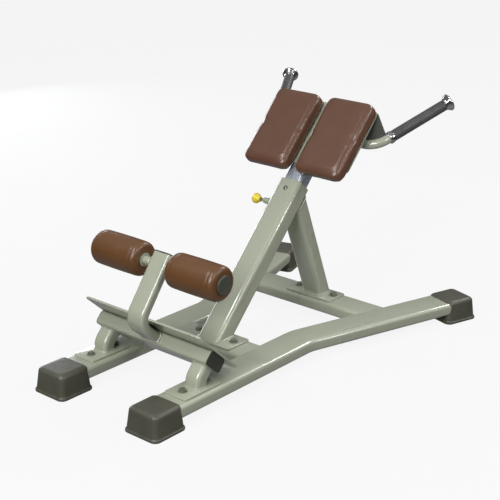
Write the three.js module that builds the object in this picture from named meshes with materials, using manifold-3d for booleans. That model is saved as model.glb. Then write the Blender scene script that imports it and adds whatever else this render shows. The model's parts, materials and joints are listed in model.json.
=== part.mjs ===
// Roman chair (45 degree back extension bench), in millimetres, +Z up.
// X runs across the bench, -Y is the foot end, +Y is the handle end, and the floor is Z = 0.
import * as THREE from 'three';
import { mergeVertices } from 'three/addons/utils/BufferGeometryUtils.js';
import Module from 'manifold-3d';

const wasm = await Module();
wasm.setup();

// ---- driving dimensions -------------------------------------------------
const GAP = 0.3; // clearance kept between pieces that touch on the real bench
const CORNER_SEGMENTS = 2; // facets across each rounded corner of a tube section
const WALL = 3; // wall of every steel tube

// The bench is drawn from its front edge; BENCH_MIDDLE_Y brings the middle of its length to Y = 0.
const BENCH_MIDDLE_Y = 632.86;

const RAIL = { width: 100, height: 38, corner: 12, x: 172, bottom: 26 };
const RAIL_TOP = RAIL.bottom + RAIL.height;
const RAIL_BEND_Y = 655; // where the rails start to splay
const RAIL_SPLAY = THREE.MathUtils.degToRad(17);
const RAIL_BEND_RADIUS = 160;
const REAR_FOOT_DISTANCE = 571; // from the bend to the middle of the rear foot, along the rail
const FRONT_FOOT_Y = 54.5;
const RAIL_END = 42; // how far a rail runs past the middle of its foot
const FOOT = { flange: 118, flangeHeight: 8, base: 112, top: 99, height: 70, corner: 15 };

const CROSS_FRONT_Y = 478;
const CROSS_REAR_Y = 945;

const PLATE_THICKNESS = 5;
const PLATE_CORNER = 8;
const PLATE_TOP = RAIL_TOP + GAP + PLATE_THICKNESS;
const UPRIGHT_PLATE = { width: 178, depth: 92, y: 477, boltX: 66, boltY: 480 };
const STRUT_PLATE = { width: 172, depth: 82, y: 947, boltX: 66, boltY: 953 };
const BOLT = { head: 9.5, headHeight: 7, washer: 12, washerHeight: 2, shank: 5, length: 24 };
const BOLT_HOLE = BOLT.shank + 0.5;

// The upright and everything that slides in it lean back at the same angle.
const LEAN = THREE.MathUtils.degToRad(47);
const MOUTH = { y: 827.6, z: 443.8 }; // middle of the open upper end of the upright
const UPRIGHT = { width: 78, depth: 60, corner: 14 };
const STRUT = { width: 74, depth: 52, corner: 15, footY: 954, lean: THREE.MathUtils.degToRad(22.4) };
const STRUT_BLANK = { length: 460, below: 40 }; // the strut before its two ends are cut
const LINER = { top: 2, length: 104, clearance: 0.4 };
const POST = { width: 66, depth: 48, corner: 11, below: 330, above: 212 };
const POST_HOLE = { radius: 5, pitch: 25, count: 7 };
const PIN = { below: 74, radius: 4, knobX: 102, clearance: 0.6 };
const HOUSING = { radius: 11, flange: 8, spigot: 7.4, neck: 8, length: 36 };
const KNOB = { radius: 16, skirt: 14, neck: 9, waist: 11, top: 13 };
const SCREW = { below: 31, headRadius: 7, headHeight: 4.5, shankRadius: 3.5, socket: 2.6, socketFloor: 2 };

const SLEEVE = { width: 72, depth: 54, corner: 13, start: 58, end: 238, cap: 4 };
const BACK_PLATE = { width: 352, start: 55, end: 269, thickness: 3.5, corner: 14 };
const BOARD = { inset: 12, thickness: 8, corner: 14 };
// A hip pad is widest at its back; each side leans in by taper towards the front.
const PAD = { width: 170, gap: 22, start: 17.5, end: 273, thickness: 43.7, corner: 24, edge: 13, taper: 7 };

const HANDLE = { radius: 14, side: 14.1, along: 180.5, cornerX: 190, bendRadius: 61.5 };
const HANDLE_DIRECTION = new THREE.Vector3(0.4065, 0.3019, 0.8624).normalize();
const COLLAR = { start: 8, length: 14, radius: 18.5 };
const GRIP = { length: 183, radius: 16.5 };
const HANDLE_END = { length: 23, radius: 26, waist: 5, rim: 17, bevel: 3 };
// X and local height of the web's two corners at the back plate, and where its other two lie on the tube.
const GUSSET = { thickness: 5, topX: 174, top: 266, footX: 135, foot: 225.5, tubeX: 150, beforeCollar: 5 };

// The footplate, its crossbar and the lower leg of the roller post share one tilt.
const FOOT_TILT = THREE.MathUtils.degToRad(42);
const CROSSBAR = { y: 246, z: 131.5, length: 407, width: 70, depth: 40, corner: 10 };
const PLUG = { rim: 1.5, spigot: 14 };
const TREAD = { width: 424, start: -114.5, end: 93, thickness: 6, corner: 16 };
const NOTCH = { width: 66, depth: 27 }; // opening in the tread's upper edge for the roller post
const BRACKET = { width: 50, depth: 42, corner: 11, y: 207, bendRadius: 30 };
const BRACKET_PLATE = { width: 78, length: 142, y: 197.5, boltFront: 156, boltRear: 247 };

const ROLLER_AXIS = { y: 255, z: 348 };
const ROLLER_POST = { width: 60, depth: 28, corner: 9, bendRadius: 38, above: 30, turn: -120.5, cap: 3 };
const ROLLER = { inner: 54, outer: 223, radius: 49, core: 19, edge: 13 };
const AXLE = { radius: 12.5, end: 223.4 };
const ROLLER_CAP = { radius: 26, thickness: 6, bevel: 3, spigot: 10 };

// ---- finishes -----------------------------------------------------------
function finish(colour, roughness, metalness) {
  return () => new THREE.MeshStandardMaterial({ color: colour, roughness, metalness });
}

const framePaint = finish(0xa9ad98, 0.35, 0.1);
const darkPaint = finish(0x45443a, 0.4, 0.1);
const rubber = finish(0x4b4a42, 0.7, 0);
const chrome = finish(0xd8dade, 0.12, 1);
const vinyl = finish(0x705244, 0.5, 0);
const rollerVinyl = finish(0x6d4a30, 0.5, 0);
const darkPlastic = finish(0x35372f, 0.55, 0);
const capPlastic = finish(0x4f5347, 0.5, 0);
const backingWood = finish(0x2f2c26, 0.8, 0);
const gripRubber = finish(0x4a4a4b, 0.6, 0);
const boltSteel = finish(0x5c6055, 0.4, 0.9);
const yellowPlastic = finish(0xe0cb30, 0.3, 0);
const linerPlastic = finish(0x24251f, 0.6, 0);

// ---- shape helpers ------------------------------------------------------
function roundedRectangle(width, height, corner) {
  const x = width / 2;
  const y = height / 2;
  const shape = new THREE.Shape();
  shape.moveTo(-x + corner, -y);
  shape.lineTo(x - corner, -y);
  shape.absarc(x - corner, -y + corner, corner, -Math.PI / 2, 0, false);
  shape.lineTo(x, y - corner);
  shape.absarc(x - corner, y - corner, corner, 0, Math.PI / 2, false);
  shape.lineTo(-x + corner, y);
  shape.absarc(-x + corner, y - corner, corner, Math.PI / 2, Math.PI, false);
  shape.lineTo(-x, -y + corner);
  shape.absarc(-x + corner, -y + corner, corner, Math.PI, 1.5 * Math.PI, false);
  return shape;
}

function hollowSection(width, height, corner, wall = WALL) {
  const shape = roundedRectangle(width, height, corner);
  shape.holes.push(roundedRectangle(width - 2 * wall, height - 2 * wall, corner - wall));
  return shape;
}

function circle(radius) {
  return new THREE.Shape().absarc(0, 0, radius, 0, 2 * Math.PI, false);
}

function prism(shape, length, curveSegments = CORNER_SEGMENTS) {
  return new THREE.ExtrudeGeometry(shape, { depth: length, bevelEnabled: false, curveSegments });
}

// A path of straight runs joined by round bends, with a station only where the tube needs one.
class BentPath extends THREE.Curve {
  constructor(corners, radius, bendSteps) {
    super();
    this.stations = [];
    const last = corners.length - 1;
    const heading = (i) => corners[i + 1].clone().sub(corners[i]).normalize();
    this.stations.push({ point: corners[0].clone(), tangent: heading(0) });
    for (let i = 1; i < last; i += 1) {
      this.addBend(corners[i], heading(i - 1), heading(i), radius, bendSteps);
    }
    this.stations.push({ point: corners[last].clone(), tangent: heading(last - 1) });
  }

  addBend(corner, before, after, radius, bendSteps) {
    const angle = before.angleTo(after);
    const start = corner.clone().addScaledVector(before, -radius * Math.tan(angle / 2));
    const inward = after.clone().addScaledVector(before, -after.dot(before)).normalize();
    for (let step = 0; step <= bendSteps; step += 1) {
      const turn = (angle * step) / bendSteps;
      const point = start.clone().addScaledVector(before, radius * Math.sin(turn));
      point.addScaledVector(inward, radius * (1 - Math.cos(turn)));
      const tangent = before.clone().multiplyScalar(Math.cos(turn));
      tangent.addScaledVector(inward, Math.sin(turn));
      this.stations.push({ point, tangent });
    }
  }

  station(t) {
    return this.stations[Math.round(t * (this.stations.length - 1))];
  }

  getPointAt(t) {
    return this.station(t).point.clone();
  }

  getTangentAt(t) {
    return this.station(t).tangent.clone();
  }
}

function bentTube(section, corners, radius, bendSteps, curveSegments = CORNER_SEGMENTS) {
  const path = new BentPath(corners, radius, bendSteps);
  const steps = path.stations.length - 1;
  return new THREE.ExtrudeGeometry(section, { extrudePath: path, steps, curveSegments, bevelEnabled: false });
}

// A turned piece along +Z, from [radius, height] pairs.
function turned(profile, segments) {
  const points = profile.map(([radius, height]) => new THREE.Vector2(radius, height));
  const geometry = new THREE.LatheGeometry(points, segments);
  return geometry.rotateX(Math.PI / 2);
}

function ringProfile(inner, outer, length) {
  return [[inner, 0], [outer, 0], [outer, length], [inner, length], [inner, 0]];
}

function toManifold(geometry) {
  const bare = geometry.clone();
  bare.deleteAttribute('normal');
  bare.deleteAttribute('uv');
  const merged = mergeVertices(bare, 1e-4);
  const vertProperties = new Float32Array(merged.attributes.position.array);
  const triVerts = new Uint32Array(merged.index.array);
  return new wasm.Manifold(new wasm.Mesh({ numProp: 3, vertProperties, triVerts }));
}

function fromManifold(solid) {
  const mesh = solid.getMesh();
  const geometry = new THREE.BufferGeometry();
  geometry.setAttribute('position', new THREE.BufferAttribute(mesh.vertProperties, 3));
  geometry.setIndex(new THREE.BufferAttribute(mesh.triVerts, 1));
  geometry.computeVertexNormals();
  return geometry;
}

function cut(geometry, ...tools) {
  const solid = tools.reduce((body, tool) => body.subtract(toManifold(tool)), toManifold(geometry));
  return fromManifold(solid);
}

function join(first, ...others) {
  const solid = others.reduce((body, other) => body.add(toManifold(other)), toManifold(first));
  return fromManifold(solid);
}

// A drill along an axis, made oversize enough that its flats clear a round shank.
function drill(radius, length, segments = 12) {
  return new THREE.CylinderGeometry(radius, radius, length, segments);
}

function block(width, depth, height) {
  return new THREE.BoxGeometry(width, depth, height);
}

// ---- assembly -----------------------------------------------------------
const bench = new THREE.Group();
const leaning = new THREE.Group(); // local Z runs up the upright, local Y points out of its back
const footRest = new THREE.Group(); // local Z is the tread's normal, local Y runs down the tread
bench.position.y = -BENCH_MIDDLE_Y;
leaning.position.set(0, MOUTH.y, MOUTH.z);
leaning.rotation.x = LEAN - Math.PI / 2;
footRest.position.set(0, CROSSBAR.y, CROSSBAR.z);
footRest.rotation.x = -FOOT_TILT;
bench.add(leaning, footRest);

function add(parent, name, geometry, material, position = [0, 0, 0], rotation = [0, 0, 0]) {
  const mesh = new THREE.Mesh(geometry, material());
  mesh.name = name;
  mesh.position.set(...position);
  mesh.rotation.set(...rotation);
  parent.add(mesh);
  return mesh;
}

const SIDES = [['right', 1], ['left', -1]];

// ---- base frame ---------------------------------------------------------
function railCorners(side) {
  const z = RAIL.bottom + RAIL.height / 2;
  const reach = REAR_FOOT_DISTANCE + RAIL_END;
  return [
    new THREE.Vector3(side * RAIL.x, FRONT_FOOT_Y - RAIL_END, z),
    new THREE.Vector3(side * RAIL.x, RAIL_BEND_Y, z),
    new THREE.Vector3(
      side * (RAIL.x + reach * Math.sin(RAIL_SPLAY)),
      RAIL_BEND_Y + reach * Math.cos(RAIL_SPLAY),
      z,
    ),
  ];
}

// The section's first direction is vertical and its second is across the rail.
function railSolid(side, extra) {
  const section = roundedRectangle(RAIL.height + 2 * extra, RAIL.width + 2 * extra, RAIL.corner + extra);
  return bentTube(section, railCorners(side), RAIL_BEND_RADIUS, 4);
}

function railDrillHoles(side) {
  const depth = 2 * WALL + 4;
  return [BRACKET_PLATE.boltFront, BRACKET_PLATE.boltRear].map((y) => {
    const tool = drill(BOLT_HOLE, depth);
    return tool.rotateX(Math.PI / 2).translate(side * RAIL.x, y, RAIL_TOP - WALL);
  });
}

function rail(side) {
  const section = hollowSection(RAIL.height, RAIL.width, RAIL.corner);
  const tube = bentTube(section, railCorners(side), RAIL_BEND_RADIUS, 4);
  return cut(tube, ...railDrillHoles(side));
}

// A tube across the bench at this Y, running to the middle of each rail before the rail is cut from it.
function crossMember(y, boltX, boltY) {
  const reach = RAIL.x + Math.max(0, y - RAIL_BEND_Y) * Math.tan(RAIL_SPLAY);
  const tube = prism(hollowSection(RAIL.height, RAIL.width, RAIL.corner), 2 * reach);
  tube.translate(0, 0, -reach);
  tube.rotateY(Math.PI / 2);
  tube.translate(0, y, RAIL.bottom + RAIL.height / 2);
  const tools = SIDES.flatMap(([, side]) => {
    const hole = drill(BOLT_HOLE, 2 * WALL + 4);
    hole.rotateX(Math.PI / 2).translate(side * boltX, boltY, RAIL_TOP - WALL);
    return [railSolid(side, GAP), hole];
  });
  return cut(tube, ...tools);
}

function footCap() {
  const flange = prism(roundedRectangle(FOOT.flange, FOOT.flange, FOOT.corner + 3), FOOT.flangeHeight);
  const body = prism(roundedRectangle(FOOT.base, FOOT.base, FOOT.corner), FOOT.height - 1);
  body.translate(0, 0, 1);
  const position = body.attributes.position;
  const shrink = FOOT.top / FOOT.base - 1;
  for (let i = 0; i < position.count; i += 1) {
    const scale = 1 + (shrink * position.getZ(i)) / FOOT.height;
    position.setX(i, position.getX(i) * scale);
    position.setY(i, position.getY(i) * scale);
  }
  const pocket = prism(roundedRectangle(RAIL.height + 2 * GAP, RAIL.width + 2 * GAP, RAIL.corner), 140);
  pocket.rotateX(-Math.PI / 2).rotateY(Math.PI / 2);
  pocket.translate(0, -RAIL_END - GAP, RAIL.bottom + RAIL.height / 2);
  return cut(join(flange, body), pocket);
}

function addBase() {
  SIDES.forEach(([word, side]) => {
    add(bench, `rail_${word}`, rail(side), framePaint);
    add(bench, `foot_front_${word}`, footCap(), rubber, [side * RAIL.x, FRONT_FOOT_Y, 0]);
    const rearX = RAIL.x + REAR_FOOT_DISTANCE * Math.sin(RAIL_SPLAY);
    const rearY = RAIL_BEND_Y + REAR_FOOT_DISTANCE * Math.cos(RAIL_SPLAY);
    const turn = side * (Math.PI - RAIL_SPLAY);
    add(bench, `foot_rear_${word}`, footCap(), rubber, [side * rearX, rearY, 0], [0, 0, turn]);
  });
  const front = crossMember(CROSS_FRONT_Y, UPRIGHT_PLATE.boltX, UPRIGHT_PLATE.boltY);
  add(bench, 'crossmember_front', front, framePaint);
  const rear = crossMember(CROSS_REAR_Y, STRUT_PLATE.boltX, STRUT_PLATE.boltY);
  add(bench, 'crossmember_rear', rear, framePaint);
}

// ---- base plates and bolts ----------------------------------------------
function basePlate(width, depth, holes) {
  const plate = roundedRectangle(width, depth, PLATE_CORNER);
  holes.forEach(([x, y]) => {
    const hole = new THREE.Path().absarc(x, y, BOLT_HOLE, 0, 2 * Math.PI, true);
    plate.holes.push(hole);
  });
  return prism(plate, PLATE_THICKNESS, 5);
}

// Hexagon head, washer face and shank, standing on Z = 0 with the shank below.
function bolt() {
  const shank = BOLT.length;
  const body = turned([
    [0, -shank], [BOLT.shank, -shank], [BOLT.shank, 0],
    [BOLT.washer, 0], [BOLT.washer, BOLT.washerHeight], [0, BOLT.washerHeight],
  ], 10);
  const head = new THREE.CylinderGeometry(BOLT.head, BOLT.head, BOLT.headHeight, 6);
  head.rotateX(Math.PI / 2).translate(0, 0, BOLT.washerHeight + BOLT.headHeight / 2 - 0.5);
  return join(body, head);
}

function addPlateWithBolts(name, plate) {
  const holes = SIDES.map(([, side]) => [side * plate.boltX, plate.boltY - plate.y]);
  const geometry = basePlate(plate.width, plate.depth, holes);
  add(bench, `${name}_base_plate`, geometry, framePaint, [0, plate.y, RAIL_TOP + GAP]);
  SIDES.forEach(([word, side]) => {
    const place = [side * plate.boltX, plate.boltY, PLATE_TOP + GAP];
    add(bench, `${name}_bolt_${word}`, bolt(), boltSteel, place);
  });
}

// ---- upright and strut --------------------------------------------------
function floorBelow(z) {
  return block(600, 600, 400).translate(0, 0, z - 200);
}

function uprightLength() {
  return (MOUTH.z - PLATE_TOP) / Math.sin(LEAN) + 60;
}

function upright() {
  const length = uprightLength();
  const tube = prism(hollowSection(UPRIGHT.width, UPRIGHT.depth, UPRIGHT.corner), length);
  tube.translate(0, 0, -length);
  const pinHole = drill(HOUSING.spigot + 0.7, 30).rotateZ(Math.PI / 2);
  pinHole.translate(-UPRIGHT.width / 2, 0, -PIN.below);
  const screwHole = drill(SCREW.shankRadius + 0.5, 30).translate(0, -UPRIGHT.depth / 2, -SCREW.below);
  const ground = floorBelow(PLATE_TOP + GAP);
  ground.translate(0, -MOUTH.y + UPRIGHT_PLATE.y, -MOUTH.z).rotateX(Math.PI / 2 - LEAN);
  return cut(tube, pinHole, screwHole, ground);
}

function strut() {
  const tube = prism(hollowSection(STRUT.width, STRUT.depth, STRUT.corner), STRUT_BLANK.length);
  tube.translate(0, 0, -STRUT_BLANK.below).rotateX(STRUT.lean).translate(0, STRUT.footY, PLATE_TOP);
  const ground = floorBelow(PLATE_TOP + GAP).translate(0, STRUT.footY, 0);
  const ahead = block(300, 600, 1400).translate(0, -300 + UPRIGHT.depth / 2 + GAP, 0);
  ahead.rotateX(LEAN - Math.PI / 2).translate(0, MOUTH.y, MOUTH.z);
  return cut(tube, ground, ahead);
}

function liner() {
  const outer = { width: UPRIGHT.width - 2 * WALL - 2 * GAP, depth: UPRIGHT.depth - 2 * WALL - 2 * GAP };
  const section = roundedRectangle(outer.width, outer.depth, UPRIGHT.corner - WALL);
  const clear = LINER.clearance;
  section.holes.push(roundedRectangle(POST.width + 2 * clear, POST.depth + 2 * clear, POST.corner));
  const sleeve = prism(section, LINER.length).translate(0, 0, -LINER.top - LINER.length);
  const pinHole = drill(PIN.radius + 0.8, 30).rotateZ(Math.PI / 2);
  return cut(sleeve, pinHole.translate(-UPRIGHT.width / 2, 0, -PIN.below));
}

function limitScrew() {
  const inside = WALL - 0.4;
  return turned([
    [0, -inside], [SCREW.shankRadius, -inside], [SCREW.shankRadius, GAP], [SCREW.headRadius, GAP],
    [SCREW.headRadius, SCREW.headHeight * 0.6], [SCREW.headRadius * 0.6, SCREW.headHeight],
    [SCREW.socket, SCREW.headHeight], [SCREW.socket, SCREW.socketFloor], [0, SCREW.socketFloor],
  ], 12);
}

function pinHousing() {
  const bore = PIN.radius + PIN.clearance;
  const { radius, flange, spigot, neck, length } = HOUSING;
  return turned([
    [bore, -WALL], [spigot, -WALL], [spigot, GAP], [radius, GAP], [radius, flange],
    [neck, length], [bore, length], [bore, -WALL],
  ], 14);
}

// The pull pin's rod: its tip ends just outside the sliding post.
function pinRod() {
  const tip = -(UPRIGHT.width / 2 - POST.width / 2 - LINER.clearance - 0.3);
  const end = PIN.knobX - UPRIGHT.width / 2;
  return turned([[0, tip], [PIN.radius, tip], [PIN.radius, end], [0, end]], 12);
}

function pinKnob() {
  const { radius, skirt, neck, waist, top } = KNOB;
  const bore = PIN.radius + GAP;
  return turned([
    [0, GAP], [bore, GAP], [bore, -skirt], [neck, -skirt], [waist, -skirt / 2],
    [radius, -2], [radius, 5], [radius * 0.72, top - 2], [0, top], [0, GAP],
  ], 16);
}

function addUpright() {
  addPlateWithBolts('upright', UPRIGHT_PLATE);
  addPlateWithBolts('strut', STRUT_PLATE);
  add(leaning, 'upright_tube', upright(), framePaint);
  add(bench, 'rear_strut', strut(), framePaint);
  add(leaning, 'guide_liner', liner(), linerPlastic);
  const face = -UPRIGHT.depth / 2;
  add(leaning, 'liner_screw', limitScrew(), boltSteel, [0, face, -SCREW.below], [Math.PI / 2, 0, 0]);
  const sideFace = [-UPRIGHT.width / 2, 0, -PIN.below];
  const outward = [0, -Math.PI / 2, 0];
  add(leaning, 'pin_housing', pinHousing(), framePaint, sideFace, outward);
  add(leaning, 'pull_pin', pinRod(), boltSteel, sideFace, outward);
  add(leaning, 'pull_knob', pinKnob(), yellowPlastic, [-PIN.knobX, 0, -PIN.below], outward);
}

// ---- sliding pad carriage -----------------------------------------------
function post() {
  const length = POST.below + POST.above;
  const tube = prism(hollowSection(POST.width, POST.depth, POST.corner), length);
  tube.translate(0, 0, -POST.below);
  const holes = [];
  for (let i = 0; i < POST_HOLE.count; i += 1) {
    const hole = drill(POST_HOLE.radius, 20, 10).rotateZ(Math.PI / 2);
    holes.push(hole.translate(-POST.width / 2, 0, -PIN.below - i * POST_HOLE.pitch));
  }
  return cut(tube, ...holes);
}

// A painted box that closes over the top of the post.
function sleeve() {
  const length = SLEEVE.end - SLEEVE.start;
  const outside = prism(roundedRectangle(SLEEVE.width, SLEEVE.depth, SLEEVE.corner), length);
  outside.translate(0, 0, SLEEVE.start);
  const width = POST.width + 2 * GAP;
  const depth = POST.depth + 2 * GAP;
  const inside = prism(roundedRectangle(width, depth, POST.corner), length);
  return cut(outside, inside.translate(0, 0, SLEEVE.start - SLEEVE.cap));
}

function slab(width, start, end, corner, thickness, bevel) {
  const shape = roundedRectangle(width - 2 * bevel, end - start - 2 * bevel, Math.max(corner - bevel, 4));
  const geometry = new THREE.ExtrudeGeometry(shape, {
    depth: thickness - 2 * bevel,
    bevelEnabled: bevel > 0,
    bevelThickness: bevel,
    bevelSize: bevel,
    bevelSegments: 2,
    curveSegments: 2,
  });
  geometry.translate(0, 0, bevel);
  geometry.rotateX(Math.PI / 2);
  return geometry.translate(0, 0, (start + end) / 2);
}

// The board that stiffens a pad, grown on every side by clearance.
function padBoard(clearance) {
  const width = PAD.width - 2 * BOARD.inset + 2 * clearance;
  const start = PAD.start + BOARD.inset - clearance;
  const end = PAD.end - BOARD.inset + clearance;
  const board = slab(width, start, end, BOARD.corner, BOARD.thickness + 2 * clearance, 0);
  return board.translate(0, clearance, 0);
}

// A cushion with a rounded front edge, leaning sides and a pocket in its back for the board.
function hipPad() {
  const solid = slab(PAD.width, PAD.start, PAD.end, PAD.corner, PAD.thickness + PAD.edge, PAD.edge);
  const position = solid.attributes.position;
  for (let i = 0; i < position.count; i += 1) {
    const front = Math.max(0, -(position.getY(i) + PAD.edge)) / PAD.thickness;
    position.setX(i, position.getX(i) * (1 - (2 * PAD.taper * front) / PAD.width));
  }
  solid.translate(0, PAD.edge, 0);
  const behind = block(2 * PAD.width, 2 * PAD.edge, 2 * PAD.end).translate(0, PAD.edge, PAD.end / 2);
  return cut(solid, behind, padBoard(GAP));
}

function handlePoint(distance) {
  const corner = new THREE.Vector3(HANDLE.cornerX, HANDLE.side, HANDLE.along);
  const angle = Math.acos(HANDLE_DIRECTION.x);
  const past = HANDLE.bendRadius * Math.tan(angle / 2) + distance;
  return corner.addScaledVector(HANDLE_DIRECTION, past);
}

function mirrored(vector, side) {
  return new THREE.Vector3(side * vector.x, vector.y, vector.z);
}

const GRIP_START = COLLAR.start + COLLAR.length + GAP;
const HANDLE_STOP = GRIP_START + GRIP.length + GAP;

function handleTube(side, section) {
  const root = new THREE.Vector3(SLEEVE.width / 2 + GAP, HANDLE.side, HANDLE.along);
  const corner = new THREE.Vector3(HANDLE.cornerX, HANDLE.side, HANDLE.along);
  const corners = [root, corner, handlePoint(HANDLE_STOP)].map((point) => mirrored(point, side));
  return bentTube(section, corners, HANDLE.bendRadius, 5, 6);
}

function addTurnedOnHandle(name, profile, distance, side, material) {
  const direction = mirrored(HANDLE_DIRECTION, side);
  const piece = add(leaning, name, turned(profile, 16), material);
  piece.position.copy(mirrored(handlePoint(distance), side));
  piece.quaternion.setFromUnitVectors(new THREE.Vector3(0, 0, 1), direction);
}

// A flat web from the outer upper corner of the back plate to the bend of the handle tube. Its four
// corners lie in one plane.
function gusset(side) {
  const back = -SLEEVE.depth / 2;
  const outline = [
    new THREE.Vector3(GUSSET.topX, back, GUSSET.top), new THREE.Vector3(GUSSET.footX, back, GUSSET.foot),
    new THREE.Vector3(GUSSET.tubeX, HANDLE.side, HANDLE.along),
    handlePoint(COLLAR.start - GUSSET.beforeCollar),
  ].map((point) => mirrored(point, side));
  const along = outline[0].clone().sub(outline[3]).normalize();
  const normal = along.clone().cross(outline[2].clone().sub(outline[3])).normalize();
  const across = normal.clone().cross(along);
  const shape = new THREE.Shape(outline.map((point) => {
    const offset = point.clone().sub(outline[3]);
    return new THREE.Vector2(offset.dot(along), offset.dot(across));
  }));
  const plate = prism(shape, GUSSET.thickness).translate(0, 0, -GUSSET.thickness / 2);
  const place = new THREE.Matrix4().makeBasis(along, across, normal).setPosition(outline[3]);
  plate.applyMatrix4(place);
  const deep = 100;
  const beyond = block(4 * GUSSET.topX, deep, 2 * GUSSET.top).translate(0, back - deep / 2, GUSSET.top);
  return cut(plate, handleTube(side, circle(HANDLE.radius + 2 * GAP)), beyond);
}

function addHandle(word, side) {
  const section = circle(HANDLE.radius);
  section.holes.push(circle(HANDLE.radius - WALL));
  add(leaning, `handle_tube_${word}`, handleTube(side, section), framePaint);
  add(leaning, `handle_gusset_${word}`, gusset(side), darkPaint);
  const bore = HANDLE.radius + GAP;
  const collar = [
    [bore, 0], [COLLAR.radius, 0], [COLLAR.radius, COLLAR.length * 0.4],
    [COLLAR.radius - 1.5, COLLAR.length], [bore, COLLAR.length], [bore, 0],
  ];
  addTurnedOnHandle(`grip_collar_${word}`, collar, COLLAR.start, side, chrome);
  const grip = ringProfile(bore, GRIP.radius, GRIP.length);
  addTurnedOnHandle(`grip_${word}`, grip, GRIP_START, side, gripRubber);
  const flare = HANDLE_END.radius;
  const end = [
    [0, 0], [GRIP.radius, 0], [GRIP.radius + 1, HANDLE_END.waist], [flare, HANDLE_END.rim],
    [flare, HANDLE_END.length - HANDLE_END.bevel], [flare - HANDLE_END.bevel, HANDLE_END.length],
    [0, HANDLE_END.length],
  ];
  addTurnedOnHandle(`grip_end_cap_${word}`, end, HANDLE_STOP + GAP, side, chrome);
}

function addCarriage() {
  add(leaning, 'sliding_post', post(), chrome);
  add(leaning, 'carriage_sleeve', sleeve(), framePaint);
  let level = -(SLEEVE.depth / 2 + GAP);
  const { width, start, end, corner, thickness } = BACK_PLATE;
  const plate = slab(width, start, end, corner, thickness, 0);
  add(leaning, 'pad_back_plate', plate, framePaint, [0, level, 0]);
  level -= thickness + GAP;
  const middle = (PAD.width + PAD.gap) / 2;
  SIDES.forEach(([word, side]) => {
    add(leaning, `pad_board_${word}`, padBoard(0), backingWood, [side * middle, level, 0]);
    add(leaning, `hip_pad_${word}`, hipPad(), vinyl, [side * middle, level, 0]);
    addHandle(word, side);
  });
}

// ---- foot end -----------------------------------------------------------
function bracketTube(side) {
  const reach = CROSSBAR.depth / 2 + GAP;
  const topY = CROSSBAR.y - reach * Math.sin(FOOT_TILT);
  const topZ = CROSSBAR.z - reach * Math.cos(FOOT_TILT);
  const bendZ = topZ - (topY - BRACKET.y) / Math.tan(FOOT_TILT);
  const corners = [
    new THREE.Vector3(side * RAIL.x, BRACKET.y, PLATE_TOP + GAP),
    new THREE.Vector3(side * RAIL.x, BRACKET.y, bendZ),
    new THREE.Vector3(side * RAIL.x, topY, topZ),
  ];
  const section = hollowSection(BRACKET.depth, BRACKET.width, BRACKET.corner);
  return bentTube(section, corners, BRACKET.bendRadius, 3);
}

function addFootBrackets() {
  SIDES.forEach(([word, side]) => {
    const bolts = [BRACKET_PLATE.boltFront, BRACKET_PLATE.boltRear];
    const holes = bolts.map((y) => [0, y - BRACKET_PLATE.y]);
    const plate = basePlate(BRACKET_PLATE.width, BRACKET_PLATE.length, holes);
    const place = [side * RAIL.x, BRACKET_PLATE.y, RAIL_TOP + GAP];
    add(bench, `foot_bracket_plate_${word}`, plate, framePaint, place);
    add(bench, `foot_bracket_${word}`, bracketTube(side), framePaint);
    bolts.forEach((y, i) => {
      const name = `foot_bracket_bolt_${['front', 'rear'][i]}_${word}`;
      add(bench, name, bolt(), boltSteel, [side * RAIL.x, y, PLATE_TOP + GAP]);
    });
  });
}

function crossbarPlug() {
  const rim = prism(roundedRectangle(CROSSBAR.depth, CROSSBAR.width, CROSSBAR.corner), PLUG.rim);
  const width = CROSSBAR.depth - 2 * WALL - 2 * GAP;
  const depth = CROSSBAR.width - 2 * WALL - 2 * GAP;
  const spigot = prism(roundedRectangle(width, depth, CROSSBAR.corner - WALL), PLUG.spigot);
  return join(rim, spigot.translate(0, 0, 1 - PLUG.spigot));
}

function tread() {
  const shape = roundedRectangle(TREAD.width, TREAD.end - TREAD.start, TREAD.corner);
  const plate = prism(shape, TREAD.thickness, 2);
  plate.translate(0, (TREAD.start + TREAD.end) / 2, CROSSBAR.depth / 2 + GAP);
  const notch = block(NOTCH.width, 2 * NOTCH.depth, CROSSBAR.depth);
  return cut(plate, notch.translate(0, TREAD.start, CROSSBAR.depth / 2));
}

function addFootRest() {
  addFootBrackets();
  const bar = prism(hollowSection(CROSSBAR.depth, CROSSBAR.width, CROSSBAR.corner), CROSSBAR.length);
  bar.translate(0, 0, -CROSSBAR.length / 2).rotateY(Math.PI / 2);
  add(footRest, 'foot_crossbar', bar, framePaint);
  SIDES.forEach(([word, side]) => {
    const place = [side * (CROSSBAR.length / 2 + GAP), 0, 0];
    add(footRest, `crossbar_plug_${word}`, crossbarPlug(), darkPlastic, place, [0, (side * Math.PI) / 2, 0]);
  });
  add(footRest, 'footplate', tread(), framePaint);
}

// ---- foot rollers -------------------------------------------------------
// In the footplate's own frame: Y and Z of the roller axle.
function axleInFootFrame() {
  const y = ROLLER_AXIS.y - CROSSBAR.y;
  const z = ROLLER_AXIS.z - CROSSBAR.z;
  const cos = Math.cos(FOOT_TILT);
  const sin = Math.sin(FOOT_TILT);
  return new THREE.Vector3(0, y * cos - z * sin, y * sin + z * cos);
}

function rollerPostCorners() {
  const axle = axleInFootFrame();
  const start = new THREE.Vector3(0, -CROSSBAR.width / 2 - GAP, 0);
  const turn = new THREE.Vector3(0, ROLLER_POST.turn, 0);
  const up = axle.clone().sub(turn).normalize();
  return [start, turn, axle.clone().addScaledVector(up, ROLLER_POST.above)];
}

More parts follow.
